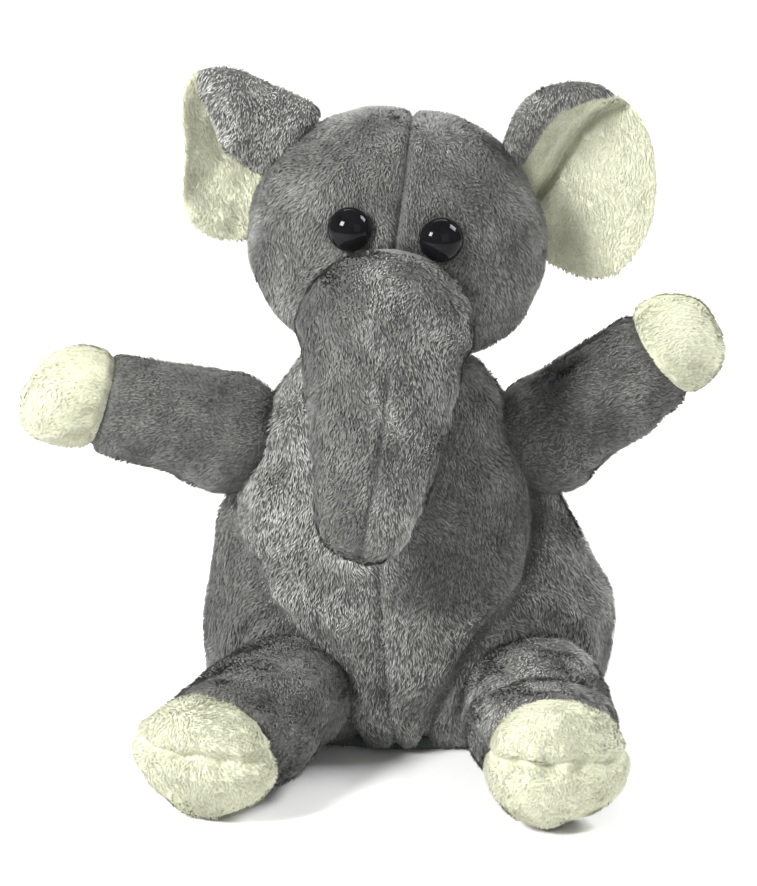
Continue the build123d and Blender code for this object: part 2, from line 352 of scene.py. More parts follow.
def pile(name, body, grid, mask, plush, density, length, seed, flow, shorten_and_shade=None, painted_light=1.0):
    """Short fibres over the masked part of a grid, lying along flow, with painted shade at their roots and
    where they are cut short. Flow and the painted light and shade that scales their tone may vary with place.
    """
    rng = np.random.default_rng(seed)
    corners, weights, root, up = scatter(rng, grid, mask, density)
    count = len(root)
    short = np.ones(count) if shorten_and_shade is None else (shorten_and_shade.reshape(-1)[corners] * weights).sum(1)
    long = FIBRE_LENGTH_SHARE * length * rng.uniform(0.8, 1.15, count) * short

    # The nap follows flow, turned aside in broad swirls, in tufts and from fibre to fibre.
    way = flow(root) if callable(flow) else np.broadcast_to(np.array(flow, float), root.shape)
    swirl = np.stack([noise(root, 15, seed + k) for k in (1, 2, 3)], 1) * 0.5
    swirl += np.stack([noise(root, 3.5, seed + k) for k in (4, 5, 6)], 1) * 0.28
    way = way + swirl + rng.normal(size=root.shape) * 0.2
    along = unit(way - up * np.sum(way * up, 1, keepdims=True))
    side = np.cross(up, along)
    # A fibre leans over by this angle, more in some patches than in others.
    lean = (1.02 + 0.22 * noise(root, 9, seed + 7) + rng.normal(size=count) * 0.12).clip(0.45, 1.3)
    wide = rng.uniform(0.28, 0.46, count) / math.sqrt(PILE_SHARE)

    def at(share, bend):
        """Points at a share of the fibres' length, bent over by a share of their lean."""
        sunk = 0.25
        turn = lean * bend
        reach = np.cos(turn)[:, None] * up + np.sin(turn)[:, None] * along
        return root - up * sunk + reach * (long * share)[:, None]

    middle, tip = at(0.55, 0.75), at(1.0, 1.0)
    half = side * (wide / 2)[:, None]
    verts = np.stack([root - half, root + half, middle - half * 0.85, middle + half * 0.85, tip], 1)
    verts[..., 2] = np.maximum(verts[..., 2], PILE_FLOOR)

    # The tone varies in patches, in tufts and from fibre to fibre. It is painted darkest at the root as
    # shade, painted darker where the fibres are cut short as shade in seams and hollows, and scaled by each
    # piece's painted light and shade.
    tone = 0.53 + 0.13 * noise(root, 11, seed + 8) + 0.07 * noise(root, 2.0, seed + 9)
    tone += rng.normal(size=count) * 0.12
    tone *= (0.4 + 0.6 * short) * (painted_light(root) if callable(painted_light) else painted_light)
    shade = np.stack([tone * 0.25, tone * 0.25, tone * 0.8, tone * 0.8, tone * 1.15], 1).clip(0, 1)
    normal = unit(up[:, None] + 0.3 * along[:, None] + rng.normal(size=(count, 1, 3)) * 0.1)
    mesh = fibre_mesh(name, verts, shade, normal)
    mesh.materials.append(plush.pile)
    obj = link_object(name, mesh)
    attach(obj, body)


# ---------------------------------------------------------------- materials
class Nodes:
    """A material's node tree, with short ways to add and join nodes. A noise's scale is per metre."""

    def __init__(self, name):
        self.material = bpy.data.materials.new(name)
        self.material.use_nodes = True
        self.tree = self.material.node_tree
        self.shader = self.tree.nodes["Principled BSDF"]
        self.place = self.add("ShaderNodeTexCoord").outputs["Object"]

    def add(self, kind, **values):
        node = self.tree.nodes.new(kind)
        for key, value in values.items():
            if key in node.inputs:
                node.inputs[key].default_value = value
            else:
                setattr(node, key, value)
        return node

    def join(self, source, target):
        self.tree.links.new(source, target)

    def noise(self, scale, detail=3.0):
        node = self.add("ShaderNodeTexNoise", Scale=scale, Detail=detail)
        self.join(self.place, node.inputs["Vector"])
        return node.outputs["Fac"]

    def math(self, operation, first, second):
        node = self.add("ShaderNodeMath", operation=operation)
        for slot, value in zip(node.inputs, (first, second)):
            if isinstance(value, (int, float)):
                slot.default_value = value
            else:
                self.join(value, slot)
        return node.outputs[0]

    def ramp(self, factor, stops):
        node = self.add("ShaderNodeValToRGB")
        elements = node.color_ramp.elements
        while len(elements) < len(stops):
            elements.new(0.5)
        for element, (at, colour) in zip(elements, stops):
            element.position = at
            element.color = (*colour, 1)
        self.join(factor, node.inputs["Fac"])
        return node.outputs["Color"]

    def bump(self, height, strength, distance):
        node = self.add("ShaderNodeBump", Strength=strength, Distance=distance)
        self.join(height, node.inputs["Height"])
        self.join(node.outputs["Normal"], self.shader.inputs["Normal"])

    def finish(self, colour, **plain):
        self.join(colour, self.shader.inputs["Base Color"])
        for key, value in plain.items():
            self.shader.inputs[key.replace("_", " ")].default_value = value
        return self.material


def fibre(name, dark, middle, light, sheen):
    """Plush pile, painted darker at the fibres' roots as shade and where the painted light is low."""
    m = Nodes(name)
    lift = m.add("ShaderNodeAttribute", attribute_name="lift").outputs["Fac"]
    patch = m.math("MULTIPLY", m.math("SUBTRACT", m.noise(110), 0.5), 0.35)
    factor = m.math("ADD", lift, patch)
    colour = m.ramp(factor, [(0.08, dark), (0.45, middle), (0.95, light)])
    return m.finish(colour, Roughness=0.85, Sheen_Weight=sheen, Sheen_Roughness=0.45)


def backing(name, dark, light):
    """A matt felted surface, for the cloth under the pile and for stuffing."""
    m = Nodes(name)
    grain = m.noise(900, 4)
    colour = m.ramp(m.math("ADD", m.math("MULTIPLY", m.noise(120), 0.6), m.math("MULTIPLY", grain, 0.4)),
                    [(0.35, dark), (0.65, light)])
    m.bump(grain, 0.5, 0.0006)
    return m.finish(colour, Roughness=0.95, Sheen_Weight=0.2)


def woven(name, dark, light, pitch):
    """A plain weave, whose threads cross at a pitch given in metres."""
    m = Nodes(name)
    waves = []
    for direction in ("X", "Z"):
        wave = m.add("ShaderNodeTexWave", wave_type="BANDS", bands_direction=direction, Scale=1 / pitch)
        m.join(m.place, wave.inputs["Vector"])
        waves.append(wave.outputs["Fac"])
    thread = m.math("MULTIPLY", waves[0], waves[1])
    tone = m.math("ADD", m.math("MULTIPLY", thread, 0.7), m.math("MULTIPLY", m.noise(300), 0.3))
    m.bump(thread, 0.6, 0.0004)
    return m.finish(m.ramp(tone, [(0.1, dark), (0.8, light)]), Roughness=0.85, Sheen_Weight=0.15)


def plastic(name, dark, light, roughness, level):
    """Moulded plastic. The level is its specular level."""
    m = Nodes(name)
    colour = m.ramp(m.noise(250), [(0.3, dark), (0.7, light)])
    return m.finish(colour, Roughness=roughness, Specular_IOR_Level=level)


# A plush's pile and the cloth that it grows from, and its slot in the record.
Plush = namedtuple("Plush", ("pile", "cloth", "slot"))
GREY = Plush(fibre("grey_pile", (0.042, 0.043, 0.040), (0.205, 0.208, 0.196), (0.60, 0.603, 0.57), 0.12),
             backing("grey_backing", (0.060, 0.061, 0.058), (0.12, 0.122, 0.116)), "grey_plush")
CREAM = Plush(fibre("cream_pile", (0.47, 0.47, 0.345), (0.595, 0.605, 0.46), (0.70, 0.71, 0.575), 0.05),
              backing("cream_backing", (0.52, 0.54, 0.39), (0.64, 0.66, 0.50)), "cream_plush")
HEM_CLOTH = woven("hem_tape", (0.025, 0.035, 0.032), (0.10, 0.13, 0.12), 0.0009)
LINING_CLOTH = woven("lining_weave", (0.10, 0.10, 0.095), (0.30, 0.30, 0.28), 0.0008)
STUFFING = backing("fibre_stuffing", (0.78, 0.78, 0.75), (0.92, 0.92, 0.90))
EYE_GLOSS = plastic("eye_gloss", (0.004, 0.004, 0.005), (0.007, 0.007, 0.008), 0.05, 0.13)
WASHER = plastic("washer_plastic", (0.72, 0.72, 0.70), (0.80, 0.80, 0.78), 0.45, 0.5)


def dress(obj, body, nodes=()):
    """Attaches a piece to its body and hides the CAD nodes that it stands for."""
    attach(obj, body)
    if nodes:
        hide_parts(*nodes)


def panels(grid, body, plush, masks):
    """A padded cloth panel for each CAD node, over its own part of a grid."""
    for node, mask in masks.items():
        dress(shell(node + "_cloth", grid, mask, CLOTH, plush.cloth), body, [node])


def away_from(grid, balls):
    """The faces outside every one of some balls, each a middle and a radius."""
    middles = face_middles(grid)
    keep = np.ones(middles.shape[:2], bool)
    for middle, radius in balls:
        keep &= np.linalg.norm(middles - np.array(middle), axis=-1) > radius
    return keep


# ---------------------------------------------------------------- body
# The belly's outline and middle seam as (x, z), and the body's half width and half depth as (height, value).
BELLY = [(-6, -1), (-11, 16), (-25, 38), (-36, 51), (-46, 65), (-51, 84), (-46, 100), (-34, 128),
         (34, 128), (44, 106), (50, 90), (50.5, 75), (45, 57), (33, 46), (24, 32), (16, 14), (13, -1)]
BELLY_MIDDLE = [(-1, 75), (0, 50), (2, 25), (5, -1)]
BODY_WIDE = [(0, 57), (20, 66), (42, 66.4), (64, 59), (84, 50), (103, 40), (118, 30), (130, 22)]
BODY_DEEP = [(0, 40), (20, 45), (42, 48), (64, 45), (84, 39), (103, 32), (118, 25), (130, 20)]

BACK_SEAM_X = 3


def make_body():
    side_rows, dome_rows = 120, 20
    quarter = np.linspace(0, math.pi / 2, dome_rows)
    heights = np.concatenate([np.linspace(2.2, 116, side_rows), 118 + 7 * np.sin(quarter)])
    turn = full_turn(260)
    middle = curve(heights, [(0, 8), (20, 9), (42, 9.4), (64, 5.6), (84, 3), (103, 2), (130, 2)])
    wide = curve(heights, BODY_WIDE)
    close = np.concatenate([np.ones(side_rows), np.cos(quarter) ** 0.7])
    close[-1] = 0.0002
    hem_pull = 1 - 0.10 * hump(heights - 1, 5)
    wide = wide * close * hem_pull
    deep = curve(heights, BODY_DEEP) * close * hem_pull
    x = middle[:, None] + wide[:, None] * np.cos(turn)
    y = BODY_Y + deep[:, None] * np.sin(turn)
    grid = np.stack([x, y, np.broadcast_to(heights[:, None], x.shape)], -1)

    x, y, z = (grid[..., k] for k in range(3))
    front = step(BODY_Y - y, 2, 10)
    edge = np.abs(line_distance(x, z, BELLY + BELLY[:1]))
    split = np.abs(line_distance(x, z, BELLY_MIDDLE))
    seam = front * hump(edge, 1.9) + front * hump(split, 1.4) * 0.75
    back_seam = (1 - front) * hump(np.abs(x - BACK_SEAM_X), 2.0)
    puff = front * (1 - hump(edge, 7)) * 2.2
    sag = front * hump(np.hypot(x - 4, z - 40), 30) * 1.5
    bumps = 1.1 * noise(grid, 26, 11) + 0.45 * noise(grid, 10, 12)
    # The plush gathers in spokes round the arms, and a soft fold lies round each thigh.
    folds = np.zeros(x.shape)
    for side, sign in (("right", -1), ("left", 1)):
        root = JOINTS[side + "_arm_raise"]
        near = np.linalg.norm(grid - root, axis=-1)
        spoke = np.arctan2(z - root[2], (y - root[1]) + 0.6 * (x - root[0]) * sign)
        folds += np.cos(spoke * 9 + sign) * hump(near - 27, 7) * 0.8
        leg = JOINTS[side + "_leg_swing"]
        near = np.linalg.norm(grid - leg, axis=-1)
        folds += hump(near - 27, 4) * 1.5 - hump(near - 22.5, 2.5) * 1.2
    grid = push(grid, puff + sag + bumps + folds - SKIN_DEPTH - 2.6 * seam - 1.4 * back_seam)
    grid[..., 2] = np.maximum(grid[..., 2], 1.8)

    balls = [(JOINTS[s + "_arm_raise"], 16.8) for s in ("left", "right")]
    balls += [(JOINTS[s + "_leg_swing"] - np.array((0, 0, 4)), 19.5) for s in ("left", "right")]
    keep = away_from(grid, balls)
    mids = face_middles(grid)
    belly = inside(mids[..., 0], mids[..., 2], BELLY) & (mids[..., 1] < BODY_Y)
    split_x = np.interp(mids[..., 2], *zip(*[(p[1], p[0]) for p in BELLY_MIDDLE[::-1]]))
    left = mids[..., 0] > np.where(belly, split_x, BACK_SEAM_X)
    panels(grid, "torso", GREY, {
        "belly_panel_left": belly & left & keep,
        "belly_panel_right": belly & ~left & keep,
        "back_panel_left": ~belly & left & keep,
        "back_panel_right": ~belly & ~left & keep,
    })
    back_line = (1 - front) * hump(np.abs(x - BACK_SEAM_X), 1.6)
    # Along the seams the pile is cut short and its tone painted darker, as shade in the seam grooves.
    shorten_and_shade = 1 - 0.6 * np.clip(seam + back_line * 0.7, 0, 1)

    def flow(p):
        return np.stack([0.25 * (p[:, 0] - 4) / 50, -0.2 * np.ones(len(p)), -np.ones(len(p))], 1)

    # Painted light and shade on the belly: the upper part on its left, beside the trunk, is painted darker as
    # the trunk's shadow and nap shade, and the rest painted lighter as lit.
    def belly_painted_light(p):
        return 1.12 - 0.52 * step(p[:, 0], -6, 14) * step(p[:, 2], 36, 62)

    # Painted shade on the back, deepest on its right side and lighter towards its left.
    def back_painted_shade(p):
        return 0.62 + 0.3 * step(p[:, 0], -10, 30)

    plush = keep & (mids[..., 2] < 124)
    pile("belly_pile", "torso", grid, belly & plush, GREY, 2.0, 2.9, 21, flow, shorten_and_shade, belly_painted_light)
    pile("back_pile", "torso", grid, ~belly & plush, GREY, 1.8, 2.9, 31, flow, shorten_and_shade, back_painted_shade)
    core = (mids[..., 2] < 112) & (mids[..., 2] > 6) & away_from(grid, [(b[0], b[1] + 5) for b in balls])
    wadding = shell("body_wadding_fill", grid, core, 9.0, STUFFING, FILL_DEPTH)
    dress(wadding, "torso", ["body_wadding"])


def make_hem():
    """The dark tape bound round the hand opening."""
    rows, turns, thick = 24, 200, 2.4
    t, round_tape = full_turn(turns), full_turn(rows)
    x = 8 + (50.5 + thick * np.cos(round_tape))[:, None] * np.cos(t)
    y = BODY_Y + (34.5 + thick * np.cos(round_tape))[:, None] * np.sin(t)
    z = 2.6 + thick * np.sin(round_tape)[:, None] + 0.25 * noise(np.stack([x, y, x * 0], -1), 6, 13)
    verts = np.stack([x, y, z], -1).reshape(-1, 3)
    ring = add_object("opening_hem_tape", verts, loop_faces(rows, turns)[:, ::-1].tolist(), HEM_CLOTH)
    dress(ring, "torso", ["opening_hem"])


def make_sleeve():
    """The lining that the hand slides into, a wall's thickness inside the body."""
    wall = 16
    t = full_turn(200)
    levels = np.linspace(1.0, 106, 70)
    wide = curve(levels, [(0, 57), (20, 64), (42, 64), (64, 58), (84, 50), (103, 40), (118, 30)]) - wall
    deep = curve(levels, BODY_DEEP) - wall
    shift = curve(levels, [(0, 8), (42, 8), (64, 5), (84, 3), (103, 2), (130, 2)])
    x = shift[:, None] + wide[:, None] * np.cos(t)
    y = BODY_Y + deep[:, None] * np.sin(t)
    sleeve = np.stack([x, y, np.broadcast_to(levels[:, None], x.shape)], -1)
    sleeve = push(sleeve, 0.35 * noise(sleeve, 8, 14) - 0.4)
    holes = [(JOINTS[s + "_arm_raise"], 21) for s in ("left", "right")]
    cloth = shell("sleeve_lining_cloth", sleeve, away_from(sleeve, holes), 0.8, LINING_CLOTH)
    dress(cloth, "torso", ["sleeve_lining"])


# ---------------------------------------------------------------- neck and pockets
def turned(name, origin, along, outline, material):
    """A closed form of revolution from a closed outline of (radius, place) points."""
    turns = 64
    along, across, rise = frame_along(along, (0, 1, 0) if abs(along[2]) > 0.9 else (0, 0, 1))
    outline = np.array(outline, float)
    t = full_turn(turns)
    ring = np.cos(t)[:, None] * across + np.sin(t)[:, None] * rise
    grid = np.array(origin) + outline[:, 1, None, None] * along + outline[:, 0, None, None] * ring
    return add_object(name, grid.reshape(-1, 3), loop_faces(len(outline), turns).tolist(), material)


def arc(radius, start, end, count):
    """Points of an outline round its origin, from one angle off the axis to another."""
    return [(radius * math.sin(a), radius * math.cos(a)) for a in np.linspace(start, end, count)]


def pocket_outline(mouth, length, wide, narrow, wall):
    """The wall of a finger pocket: open at the mouth and round at the far end."""
    t = np.linspace(0, math.pi / 2 - 0.02, 10)
    inner = [(wide, mouth)] + [(narrow * math.cos(a), length - narrow + narrow * math.sin(a)) for a in t]
    big = narrow + wall
    outer = [(big * math.cos(a), length - narrow + big * math.sin(a)) for a in t[::-1]]
    return inner + outer + [(wide + wall, mouth)]


def make_neck():
    outline = [(9.6, -21), (9.6, 7), (11, 7.4), (12.6, 4), (12.8, 0), (12.8, -21)]
    tube = turned("neck_tube_cloth", NECK, (0, 0, 1), outline, LINING_CLOTH)
    dress(tube, "neck", ["neck_tube"])
    outer = [(16.8 * math.cos(a), 16.8 * math.sin(a)) for a in np.linspace(0.07, 0.72, 9)]
    inner = [(13.7 * math.cos(a), 13.7 * math.sin(a)) for a in np.linspace(0.4, 0.09, 5)]
    ring = turned("neck_ring_pad", NECK, (0, 0, 1), outer + inner, LINING_CLOTH)
    dress(ring, "neck_collar", ["neck_ring"])


# ---------------------------------------------------------------- head
# The head leans a little to its left and looks slightly to its right.
HEAD = (Matrix.Translation(NECK) @ Matrix.Rotation(math.radians(6), 4, "Y")
        @ Matrix.Rotation(math.radians(-3), 4, "Z") @ Matrix.Translation((0, 0, 33.5)))
HEAD_TURN = np.array(HEAD.to_3x3())
HEAD_MIDDLE = np.array(HEAD.translation)
EYES = [np.mean(np.array(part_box(s + "_eye")), axis=0) * MM_PER_M for s in ("left", "right")]


def make_head():
    rows, turns = 170, 240
    back_y = 9
    v, u = np.linspace(0, math.pi, rows), full_turn(turns)
    radius = 40 * np.sin(v) ** 0.93
    radius[0] = radius[-1] = 0.005
    x = np.broadcast_to((47 * np.cos(v))[:, None], (rows, turns))
    local = np.stack([x, -radius[:, None] * np.cos(u), radius[:, None] * np.sin(u)], -1)
    x, y, z = (local[..., k] for k in range(3))
    cheeks = sum(hump(np.linalg.norm(local - np.array((s * 29, -18, -20)), axis=-1), 17) for s in (-1, 1))
    brow = sum(hump(np.linalg.norm(local - np.array((s * 15, -31, 19)), axis=-1), 13) for s in (-1, 1))
    place = local @ HEAD_TURN.T + HEAD_MIDDLE
    sockets = sum(hump(np.linalg.norm(place - e, axis=-1), 7.5) for e in EYES)
    crown = hump(x - 0.8 * np.sin(z / 14), 1.4)
    rear = hump(y - back_y, 2.2)
    near = np.linalg.norm(place - TRUNK_ROOT, axis=-1)
    collar = hump(near - 29, 4.5) * step(z, -34, -10)
    bumps = 0.9 * noise(place, 21, 41) + 0.35 * noise(place, 8, 42)
    amount = (5.0 * cheeks + 1.0 * brow + 1.4 * collar + bumps - 2.6 * sockets - SKIN_DEPTH
              - 1.7 * crown - 1.5 * rear - 0.8 * hump(y - 5, 8))
    grid = push(place, amount)

    keep = away_from(grid, [(TRUNK_ROOT, 22.5), (NECK, 16.0)])
    back = face_middles(local)[..., 1] > back_y
    left = face_middles(local)[..., 0] > 0
    panels(grid, "head", GREY, {
        "head_back": back & keep,
        "face_left": ~back & left & keep,
        "face_right": ~back & ~left & keep,
    })
    seen = away_from(grid, [(TRUNK_ROOT, 24.0), (NECK, 17.0)] + [(e, 5.6) for e in EYES])
    # Along the crown and rear seams and round the eye sockets the pile is cut short and its tone painted
    # darker, as shade in the grooves and sockets.
    shorten_and_shade = (1 - 0.6 * np.clip(crown + rear, 0, 1)) * (1 - 0.3 * np.clip(sockets * 1.2, 0, 1))

    def flow(p):
        return unit(p - (HEAD_MIDDLE + np.array((0, -6, 24)))) * 0.5 + np.array((0, 0.1, -0.75))

    # Painted light and shade on the face: all of it painted darker, its lower right cheek painted lighter as
    # lit and its lower left painted darker as shaded.
    def face_painted_light(p):
        low = step(p[:, 2], NECK[2] + 30, NECK[2] + 12)
        return 0.7 + 0.28 * low * step(p[:, 0], 0, -20) - 0.14 * low * step(p[:, 0], 5, 25)

    pile("face_pile", "head", grid, ~back & seen, GREY, 2.2, 2.7, 51, flow, shorten_and_shade, face_painted_light)
    pile("head_back_pile", "head", grid, back & seen, GREY, 1.8, 2.9, 61, flow, shorten_and_shade)
    core = away_from(grid, [(TRUNK_ROOT, 27), (NECK, 19)] + [(e, 9) for e in EYES])
    fill = shell("head_fill", grid, core, 9.0, STUFFING, 2.2)
    dress(fill, "head", ["head_stuffing"])
    outline = pocket_outline(14.5, 39, 11, 9.5, 1.0)
    pocket = turned("head_finger_pocket_cloth", NECK, (0, 0, 1), outline, LINING_CLOTH)
    dress(pocket, "head", ["head_finger_pocket"])
    for side in ("left", "right"):
        for node, material in ((side + "_eye", EYE_GLOSS), (side + "_eye_washer", WASHER)):
            data = frame["nodes"][node].data
            data.materials.clear()
            data.materials.append(material)
            data.shade_smooth()


# ---------------------------------------------------------------- trunk
def make_trunk():
    tip = np.array((-3.0, -42.0, 90.0))
    along, across, rise = frame_along(tip - TRUNK_ROOT, (0, -1, 0))
    reach = np.linalg.norm(tip - TRUNK_ROOT)
    body = [(0, 26.0), (6, 25.4), (13, 24.6), (29, 21.8), (40, 19.6), (50, 18.0), (58, 15.8), (66, 14.0)]
    places, radii = stub_rows(28.4, body, reach + 1, reach + 15.5, 2.05)
    turns = 180
    grid = lathe(TRUNK_ROOT, along, across, rise, places, radii, turns, 1.0, 0.95)
    sway = np.clip(places / reach, 0, 1.3)
    shift = curve(places, [(-24, -2.6), (0, -3.0), (13, -2.4), (29, -1.2), (50, -1.0), (62, -1.8)])
    grid[..., 0] += shift[:, None]
    grid[..., 1] += 1.2 * np.sin(sway * math.pi)[:, None]
    turn = full_turn(turns)
    facing = np.cos(turn - math.pi / 2)[None]
    s = places[:, None]
    gusset = math.radians(50)
    front = hump(off_line(turn, math.pi / 2 + 0.04, radii), 1.5) * step(s, 10, 22)
    under = sum(hump(off_line(turn, -math.pi / 2 - a, radii), 1.6) for a in (gusset, -gusset)) * step(s, 0, 8)
    curl = hump(s - reach - 4 - 7 * np.cos(turn - 2.2)[None], 2.2) * step(facing, -0.2, 0.4)
    dents = hump(s - 33 + 5 * np.cos(turn - 0.6)[None], 3.5) * step(np.cos(turn - 0.2), 0.1, 0.9)[None]
    bumps = 0.8 * noise(grid, 15, 71) + 0.35 * noise(grid, 6, 72)
    dips = 1.1 * front + 1.2 * under + 0.5 * curl + 0.9 * dents
    grid = push(grid, bumps * step(s, -14, 6) - SKIN_DEPTH - dips)
    mid_turn = turn + math.pi / turns
    low = np.broadcast_to(np.cos(mid_turn + math.pi / 2) > math.cos(gusset), (len(places) - 1, turns))
    left = np.broadcast_to(np.cos(mid_turn) * across[0] > 0, low.shape)
    panels(grid, "trunk", GREY, {
        "trunk_under_gusset": low,
        "trunk_panel_left": ~low & left,
        "trunk_panel_right": ~low & ~left,
    })
    seen = np.broadcast_to(((places[:-1] + places[1:]) / 2 > -24)[:, None], low.shape)
    # Along the front seam and the gusset seams the pile is cut short and its tone painted darker, as shade in
    # the seams.
    shorten_and_shade = 1 - 0.5 * np.clip(front * 0.8 + under, 0, 1)

    # Painted light and shade on the trunk: its right side painted dark as shaded, its left side lighter as
    # lit.
    def painted_light(p):
        return 0.62 + 0.42 * step(p[:, 0], -10, 2)

    pile("trunk_pile", "trunk", grid, seen, GREY, 2.3, 2.7, 81, along * 1.1, shorten_and_shade, painted_light)
    dress(solid("trunk_fill", grid, STUFFING, FILL_DEPTH), "trunk", ["trunk_stuffing"])


# ---------------------------------------------------------------- ears
# Rings from a leaf's middle to its rim.
LEAF_RINGS = 46


def leaf(middle, outline, depth, thickness, grow):
    """A thin closed pad over an outline in x and z. depth(x, z, out) is its front, out being 1 at the rim."""
    closed = np.array(outline + outline[:1], float) - middle
    path = smooth_path(closed, 400)
    angle = np.unwrap(np.arctan2(path[:, 1], path[:, 0]))
    size = np.hypot(path[:, 0], path[:, 1]) + grow
    if angle[-1] < angle[0]:
        angle, size = angle[::-1], size[::-1]
    turn = full_turn(200)
    start = angle[0]
    edge = np.interp((turn - start) % (2 * math.pi) + start, angle, size)
    edge = sum(np.roll(edge, k) for k in range(-3, 4)) / 7
    out = np.sin(np.linspace(0, math.pi / 2, LEAF_RINGS))
    out[0] = 0.0005
    rim = (1 - out ** 10) ** 0.5
    sheets = []
    for way, rows in ((-1, slice(None)), (1, slice(-2, None, -1))):
        x = middle[0] + out[:, None] * edge * np.cos(turn)
        z = middle[1] + out[:, None] * edge * np.sin(turn)
        y = depth(x, z, np.broadcast_to(out[:, None], x.shape))
        y = y + thickness / 2 + way * thickness / 2 * rim[:, None]
        sheets.append(np.stack([x, y, z], -1)[rows])
    return np.concatenate(sheets)


def roll(points, radii):
    """A soft, slightly flat roll along a path, closed at both ends."""
    flat, count = 0.8, 70
    path = smooth_path(points, count)
    size = smooth_path(np.array(radii, float)[:, None], count)[:, 0]
    size *= np.sqrt(np.clip(1 - np.abs(np.linspace(-1, 1, count)) ** 6, 0, 1))
    size[0] = size[-1] = 0.01
    way = unit(np.gradient(path, axis=0))
    across = unit(np.cross(way, (0, 1, 0)))
    rise = np.cross(way, across)
    t = full_turn(48)
    ring = np.cos(t)[None, :, None] * across[:, None] + np.sin(t)[None, :, None] * rise[:, None] * flat
    return path[:, None] + size[:, None, None] * ring


# Outlines as (x, z).
LEFT_EAR = [(43, 172), (42.5, 184), (44, 193), (51, 201.5), (58, 207), (64, 209), (70, 208), (76, 204),
            (81, 198), (84.5, 190), (86, 178), (85, 166), (81, 156.5), (75, 148.5), (67, 145), (59, 147),
            (50, 150.5), (45, 160)]
LEFT_EAR_CREASE = [(48, 171), (53, 177), (57, 185), (61.5, 193), (67, 198.5), (74, 202)]
RIGHT_EAR = [(-56.5, 213), (-60, 210), (-62, 206), (-62.3, 199), (-61.8, 188), (-62.7, 174), (-61.6, 166),
             (-57.7, 160.5), (-52.7, 158), (-47, 157), (-40.6, 157), (-37, 161), (-34, 172), (-30, 184),
             (-26, 195), (-22, 202), (-30, 205), (-37, 208.5), (-45, 212), (-52, 213.5)]
RIGHT_FLAP = [(-56.5, 213.5), (-50, 214), (-44, 213), (-36, 209.5), (-28, 205.5), (-21, 202), (-17, 199),
              (-19, 195), (-24, 190), (-27, 183.5), (-31.5, 179.5), (-35.5, 179), (-40.5, 181), (-45, 184.5),
              (-49.6, 188.5), (-51.5, 194), (-54.5, 202), (-57.5, 209)]


def make_ears():
    def left_front(x, z, out):
        cup = 29 - 0.34 * (x - 49) + 6 * (1 - out ** 2)
        side = line_distance(x, z, LEFT_EAR_CREASE)
        cup += 2.6 * hump(side, 1.7) - 5.5 * step(side, 0, 5)
        points = np.stack([x, z * 0, z], -1)
        return cup + 0.7 * noise(points, 13, 91) + 0.3 * noise(points, 5, 92)

    def right_front(x, z, out):
        cup = 29.5 - 0.14 * (-32 - x) + 5 * (1 - out ** 2)
        points = np.stack([x, z * 0, z], -1)
        return cup + 0.8 * noise(points, 12, 93) + 0.3 * noise(points, 5, 94)

    def flap_front(x, z, out):
        top = line_distance(x, z, [(-57, 212), (-45, 212), (-28, 204), (-17, 199)])
        puff = 6.0 * step(np.abs(top), -2, 9) * (0.6 + 0.4 * (1 - out ** 4))
        dent = 1.6 * hump(line_distance(x, z, [(-54, 207), (-44, 196), (-33, 190)]), 3)
        return right_front(x, z, out * 0 + 1) - 3.5 - puff + dent

    for side, middle, outline, front in (("left", (66, 177), LEFT_EAR, left_front),
                                         ("right", (-47, 187), RIGHT_EAR, right_front)):
        body = side + "_ear"
        pale = leaf(middle, outline, front, 3.0, -1.0)
        dark = leaf(middle, outline, lambda x, z, out, f=front: f(x, z, out) + 3.0, 2.6, -1.8)
        dress(solid(body + "_lining_cloth", pale, CREAM.cloth), body, [body + "_lining"])
        dress(solid(body + "_back_cloth", dark, GREY.cloth), body, [body + "_back"])
        rows = np.arange(len(pale) - 1)[:, None]
        fore = np.broadcast_to(rows <= LEAF_RINGS, (len(pale) - 1, pale.shape[1]))
        rear = np.broadcast_to(rows >= LEAF_RINGS, fore.shape)
        pile(body + "_lining_pile", body, pale, fore, CREAM, 2.4, 2.1, 101, (0, -0.1, -1))
        pile(body + "_back_pile", body, dark, rear, GREY, 2.0, 2.0, 111, (0, 0.6, -1))
    path = [(38, 25.5, 178), (41.5, 23.5, 188), (46, 21.5, 198), (52, 19.5, 204), (59, 18, 206.5),
            (65, 17, 207.5), (71, 17.5, 206)]
    edge = roll(path, [3.5, 4.5, 5.0, 4.6, 3.6, 2.2, 1.0])
    dress(solid("left_ear_rolled_edge", edge, GREY.cloth), "left_ear")
    pile("left_ear_edge_pile", "left_ear", edge, None, GREY, 2.2, 2.2, 121, (0.3, 0, -1))
    flap = leaf((-38, 197), RIGHT_FLAP, flap_front, 4.0, -1.0)
    dress(solid("right_ear_flap_cloth", flap, GREY.cloth), "right_ear")
    # The flap's pile is painted lighter as lit.
    pile("right_ear_flap_pile", "right_ear", flap, None, GREY, 2.2, 2.3, 131, (-0.3, 0, -1), painted_light=1.35)


